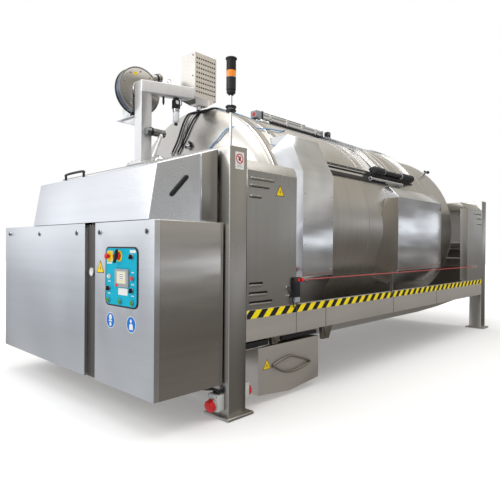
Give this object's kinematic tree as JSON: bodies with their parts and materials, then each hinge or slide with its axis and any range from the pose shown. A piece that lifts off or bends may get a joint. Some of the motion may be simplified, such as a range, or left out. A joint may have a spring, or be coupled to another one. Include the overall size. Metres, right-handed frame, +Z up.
{
  "type": "pneumatic grape press",
  "caption": "Horizontal pneumatic grape press with a turning closed drum, sliding drum door, drive hood, two cabinets, juice tray with drawer, mast with blower.",
  "frame": {"origin": "on the floor under the middle of the whole press", "axes": "+X along the drum from the drive end to the outlet end, +Y away from the operator's side, +Z up"},
  "size_m": [5.62, 2.48, 2.755],
  "materials": {
    "stainless": "fine ground stainless sheet with soft reflections",
    "bright_stainless": "bright rolled stainless",
    "cast_metal": "painted or bare castings, matt",
    "black_plastic": "black moulded plastic, slightly ribbed",
    "red_plastic": "glossy red moulding",
    "green_plastic": "glossy green moulding",
    "panel_film": "blue-green printed film with a black border",
    "signal_lens": "orange lens between black modules on a steel pole",
    "membrane_fabric": "coated white fabric",
    "red_rope": "red sheathed cable"
  },
  "bodies": {
    "press_frame": {"near_stand": "stainless", "far_stand": "stainless", "side_skirt_right": "stainless", "side_skirt_left": "stainless", "near_guard_right": "stainless", "near_guard_left": "stainless", "far_guard_right": "stainless", "far_guard_left": "stainless", "juice_tray": "stainless", "drive_bay": "stainless", "control_cabinet": "stainless", "drive_hood": "stainless", "mast": "stainless", "rope_eye_middle": "stainless", "rope_eye_end": "stainless", "vent_box": "bright_stainless", "blower_housing": "bright_stainless", "vent_valve": "bright_stainless", "near_bearing": "cast_metal", "far_bearing": "cast_metal", "gearmotor": "cast_metal", "blower_motor": "cast_metal", "drive_chain": "cast_metal", "filter_regulator": "black_plastic", "rope_switch": "black_plastic", "power_inlet": "red_plastic", "stack_light": "signal_lens"},
    "drum": {"drum_sprocket": "cast_metal", "drum_shell": "stainless", "drive_trunnion": "cast_metal", "outlet_trunnion": "cast_metal", "membrane": "membrane_fabric", "near_casing_right": "stainless", "near_casing_left": "stainless", "far_casing_right": "stainless", "far_casing_left": "stainless", "door_rail_right": "black_plastic", "door_rail_left": "black_plastic", "door_cylinder": "bright_stainless", "energy_chain": "black_plastic"},
    "drum_door": {"drum_door": "stainless", "door_carriage_right": "black_plastic", "door_carriage_left": "black_plastic"},
    "motor_shaft": {"motor_sprocket": "cast_metal"},
    "bay_cover": {"bay_cover": "stainless"},
    "control_door": {"control_door": "stainless", "operator_panel": "panel_film"},
    "emergency_button": {"emergency_button": "red_plastic"},
    "main_switch": {"main_switch": "red_plastic"},
    "selector_mode": {"selector_mode": "black_plastic"},
    "selector_light": {"selector_light": "black_plastic"},
    "selector_turn": {"selector_turn": "black_plastic"},
    "start_button_1": {"start_button_1": "green_plastic"},
    "start_button_2": {"start_button_2": "green_plastic"},
    "start_button_3": {"start_button_3": "green_plastic"},
    "stop_button": {"stop_button": "red_plastic"},
    "drain_drawer": {"drain_drawer": "stainless"},
    "valve_lever": {"valve_lever": "stainless"},
    "blower_impeller": {"blower_impeller": "cast_metal"},
    "pull_rope": {"pull_rope": "red_rope"}
  },
  "joints": [
    {"name": "drum_spin", "type": "hinge", "parent": "press_frame", "child": "drum", "pos_m": [0.235, 0, 1.333], "axis": [1, 0, 0], "continuous": true},
    {"name": "motor_spin", "type": "hinge", "parent": "press_frame", "child": "motor_shaft", "pos_m": [-2.332, 0, 0.62], "axis": [1, 0, 0], "continuous": true},
    {"name": "door_slide", "type": "slide", "parent": "drum", "child": "drum_door", "axis": [-1, 0, 0], "range_m": [0, 0.78]},
    {"name": "bay_cover_hinge", "type": "hinge", "parent": "press_frame", "child": "bay_cover", "pos_m": [-2.76, 0.4, 0.219], "axis": [0, -1, 0], "range_deg": [0, 85]},
    {"name": "control_door_hinge", "type": "hinge", "parent": "press_frame", "child": "control_door", "pos_m": [-2.76, -0.819, 0.219], "axis": [0, -1, 0], "range_deg": [0, 85]},
    {"name": "drawer_slide", "type": "slide", "parent": "press_frame", "child": "drain_drawer", "axis": [0, -1, 0], "range_m": [0, 0.45]},
    {"name": "valve_lever_turn", "type": "hinge", "parent": "press_frame", "child": "valve_lever", "pos_m": [-2.042, -0.203, 1.998], "axis": [0, -1, 0], "range_deg": [0, 90]},
    {"name": "blower_spin", "type": "hinge", "parent": "press_frame", "child": "blower_impeller", "pos_m": [-2.103, 0.05, 2.402], "axis": [0, 1, 0], "continuous": true},
    {"name": "rope_pull", "type": "slide", "parent": "press_frame", "child": "pull_rope", "axis": [1, 0, 0], "range_m": [0, 0.008], "stiffness_N_per_m": 2500},
    {"name": "emergency_button_push", "type": "slide", "parent": "control_door", "child": "emergency_button", "axis": [1, 0, 0], "range_m": [0, 0.004], "stiffness_N_per_m": 1500},
    {"name": "main_switch_turn", "type": "hinge", "parent": "control_door", "child": "main_switch", "pos_m": [-2.777, -0.792, 1.048], "axis": [1, 0, 0], "range_deg": [0, 90]},
    {"name": "selector_mode_turn", "type": "hinge", "parent": "control_door", "child": "selector_mode", "pos_m": [-2.777, -0.936, 1.045], "axis": [1, 0, 0], "range_deg": [-45, 45]},
    {"name": "stop_button_push", "type": "slide", "parent": "control_door", "child": "stop_button", "axis": [1, 0, 0], "range_m": [0, 0.003], "stiffness_N_per_m": 1500},
    {"name": "selector_light_turn", "type": "hinge", "parent": "control_door", "child": "selector_light", "pos_m": [-2.777, -0.675, 0.843], "axis": [1, 0, 0], "range_deg": [-45, 45]},
    {"name": "selector_turn_turn", "type": "hinge", "parent": "control_door", "child": "selector_turn", "pos_m": [-2.777, -0.939, 0.844], "axis": [1, 0, 0], "range_deg": [-45, 45]},
    {"name": "start_button_1_push", "type": "slide", "parent": "control_door", "child": "start_button_1", "axis": [1, 0, 0], "range_m": [0, 0.003], "stiffness_N_per_m": 1500},
    {"name": "start_button_2_push", "type": "slide", "parent": "control_door", "child": "start_button_2", "axis": [1, 0, 0], "range_m": [0, 0.003], "stiffness_N_per_m": 1500},
    {"name": "start_button_3_push", "type": "slide", "parent": "control_door", "child": "start_button_3", "axis": [1, 0, 0], "range_m": [0, 0.003], "stiffness_N_per_m": 1500}
  ],
  "couplings": [
    {"joint": "motor_spin", "follows": "drum_spin", "ratio": 3.2857}
  ]
}
